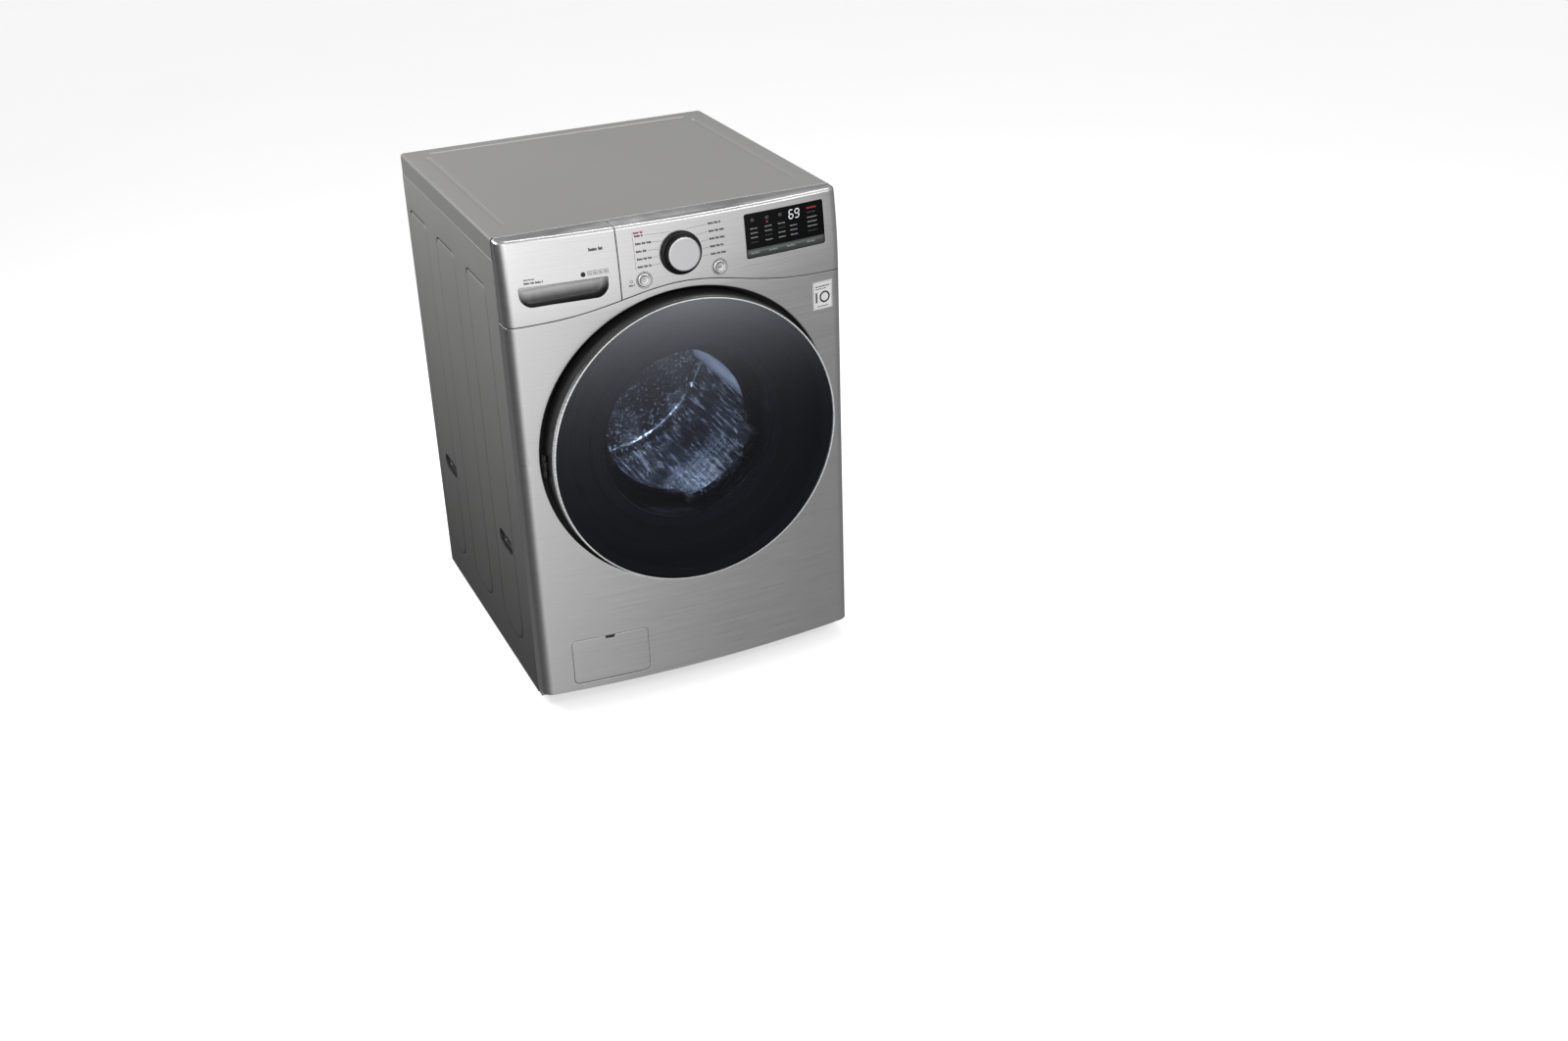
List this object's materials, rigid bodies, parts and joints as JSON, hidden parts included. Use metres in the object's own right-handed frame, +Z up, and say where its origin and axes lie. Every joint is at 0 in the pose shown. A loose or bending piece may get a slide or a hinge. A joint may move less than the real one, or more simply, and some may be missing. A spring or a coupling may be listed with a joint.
{
  "type": "front load washing machine",
  "caption": "Front-loading washing machine: bowed steel front, round glass door, dial and display panel, dispenser drawer, drum, tub and drive inside.",
  "frame": {"origin": "centre of the footprint, on the floor under the feet", "axes": "+Z up, -Y out of the door side, +X to the right seen from the front"},
  "size_m": [0.686, 0.777, 0.99],
  "materials": {
    "brushed_front": "brushed horizontally, satin",
    "painted_grey": "satin paint",
    "painted_dark": "satin paint",
    "zinc_sheet": "galvanised",
    "stainless": "polished",
    "black_plastic": "fine texture",
    "grey_plastic": "fine texture",
    "white_plastic": "smooth",
    "door_shell": "satin dark grey",
    "chrome_trim": "polished",
    "silver": "metallic lacquer",
    "tinted_glass": "dark tint",
    "display_glass": "gloss black",
    "clear_glass": "clear",
    "gasket_rubber": "matt",
    "black_rubber": "matt",
    "counterweight": "rough cast",
    "cast_aluminium": "as cast",
    "motor_winding": "copper windings on laminations"
  },
  "bodies": {
    "cabinet": {"front_panel": "brushed_front", "control_panel": "brushed_front", "top_plate": "painted_grey", "side_panel_left": "painted_dark", "side_panel_right": "painted_dark", "base_frame": "zinc_sheet", "rear_panel": "zinc_sheet", "rear_service_cover": "zinc_sheet", "hinge_bracket": "zinc_sheet", "hinge_pin": "stainless", "bearing_front": "stainless", "bearing_rear": "stainless", "spring_left": "stainless", "spring_right": "stainless", "door_surround": "black_plastic", "door_lock": "black_plastic", "cord_gland": "black_plastic", "damper_left": "black_plastic", "damper_right": "black_plastic", "dispenser_housing": "grey_plastic", "tub_front": "grey_plastic", "tub_rear": "grey_plastic", "drain_pump": "grey_plastic", "control_board": "white_plastic", "inlet_valve": "white_plastic", "display_window": "display_glass", "door_gasket": "gasket_rubber", "dispenser_hose": "black_rubber", "sump_hose": "black_rubber", "drain_hose": "black_rubber", "front_counterweight": "counterweight", "top_counterweight": "counterweight", "stator": "motor_winding"},
    "door": {"door_ring": "door_shell", "door_trim": "chrome_trim", "door_glass": "tinted_glass", "door_inner_frame": "grey_plastic", "door_bowl": "clear_glass", "door_latch": "zinc_sheet", "hinge_arm": "zinc_sheet"},
    "drawer": {"drawer_front": "brushed_front", "drawer_tray": "white_plastic"},
    "knob": {"knob_skirt": "black_plastic", "knob_cap": "silver"},
    "power_button": {"power_button": "silver"},
    "start_button": {"start_button": "silver"},
    "access_cover": {"access_cover": "brushed_front"},
    "filter_cap": {"filter_cap": "black_plastic"},
    "pump_impeller": {"pump_impeller": "white_plastic"},
    "drum": {"drum_shell": "stainless", "lifter_1": "grey_plastic", "lifter_2": "grey_plastic", "lifter_3": "grey_plastic", "spider": "cast_aluminium", "rotor": "zinc_sheet"},
    "foot_front_left": {"foot_front_left": "black_rubber"},
    "foot_front_right": {"foot_front_right": "black_rubber"},
    "foot_back_left": {"foot_back_left": "black_rubber"},
    "foot_back_right": {"foot_back_right": "black_rubber"}
  },
  "joints": [
    {"name": "door_swing", "type": "hinge", "parent": "cabinet", "child": "door", "pos_m": [-0.3005, -0.34, 0.5505], "axis": [0, 0, -1], "range_deg": [0, 115]},
    {"name": "drawer_slide", "type": "slide", "parent": "cabinet", "child": "drawer", "axis": [0, -1, 0], "range_m": [0, 0.235]},
    {"name": "knob_turn", "type": "hinge", "parent": "cabinet", "child": "knob", "pos_m": [0, -0.34112, 0.925], "axis": [0, -0.9939, 0.1102], "continuous": true},
    {"name": "power_press", "type": "slide", "parent": "cabinet", "child": "power_button", "axis": [0.0324, 0.9974, -0.065], "range_m": [0, 0.0012], "stiffness_N_per_m": 600, "springref_m": -0.0005},
    {"name": "start_press", "type": "slide", "parent": "cabinet", "child": "start_button", "axis": [-0.0324, 0.9974, -0.065], "range_m": [0, 0.0012], "stiffness_N_per_m": 600, "springref_m": -0.0005},
    {"name": "drum_spin", "type": "hinge", "parent": "cabinet", "child": "drum", "pos_m": [0, 0, 0.5505], "axis": [0, -1, 0], "continuous": true},
    {"name": "access_cover_tilt", "type": "hinge", "parent": "cabinet", "child": "access_cover", "pos_m": [-0.2005, -0.33563, 0.053], "axis": [0.9964, -0.0849, 0], "range_deg": [0, 75]},
    {"name": "filter_cap_turn", "type": "hinge", "parent": "cabinet", "child": "filter_cap", "pos_m": [-0.2005, -0.295, 0.1005], "axis": [0, -1, 0], "range_deg": [0, 180]},
    {"name": "impeller_spin", "type": "hinge", "parent": "cabinet", "child": "pump_impeller", "pos_m": [-0.2005, -0.19, 0.1005], "axis": [0, -1, 0], "continuous": true},
    {"name": "foot_front_left_turn", "type": "hinge", "parent": "cabinet", "child": "foot_front_left", "pos_m": [-0.295, -0.235, 0], "axis": [0, 0, 1], "continuous": true},
    {"name": "foot_front_right_turn", "type": "hinge", "parent": "cabinet", "child": "foot_front_right", "pos_m": [0.295, -0.235, 0], "axis": [0, 0, 1], "continuous": true},
    {"name": "foot_back_left_turn", "type": "hinge", "parent": "cabinet", "child": "foot_back_left", "pos_m": [-0.295, 0.335, 0], "axis": [0, 0, 1], "continuous": true},
    {"name": "foot_back_right_turn", "type": "hinge", "parent": "cabinet", "child": "foot_back_right", "pos_m": [0.295, 0.335, 0], "axis": [0, 0, 1], "continuous": true}
  ]
}
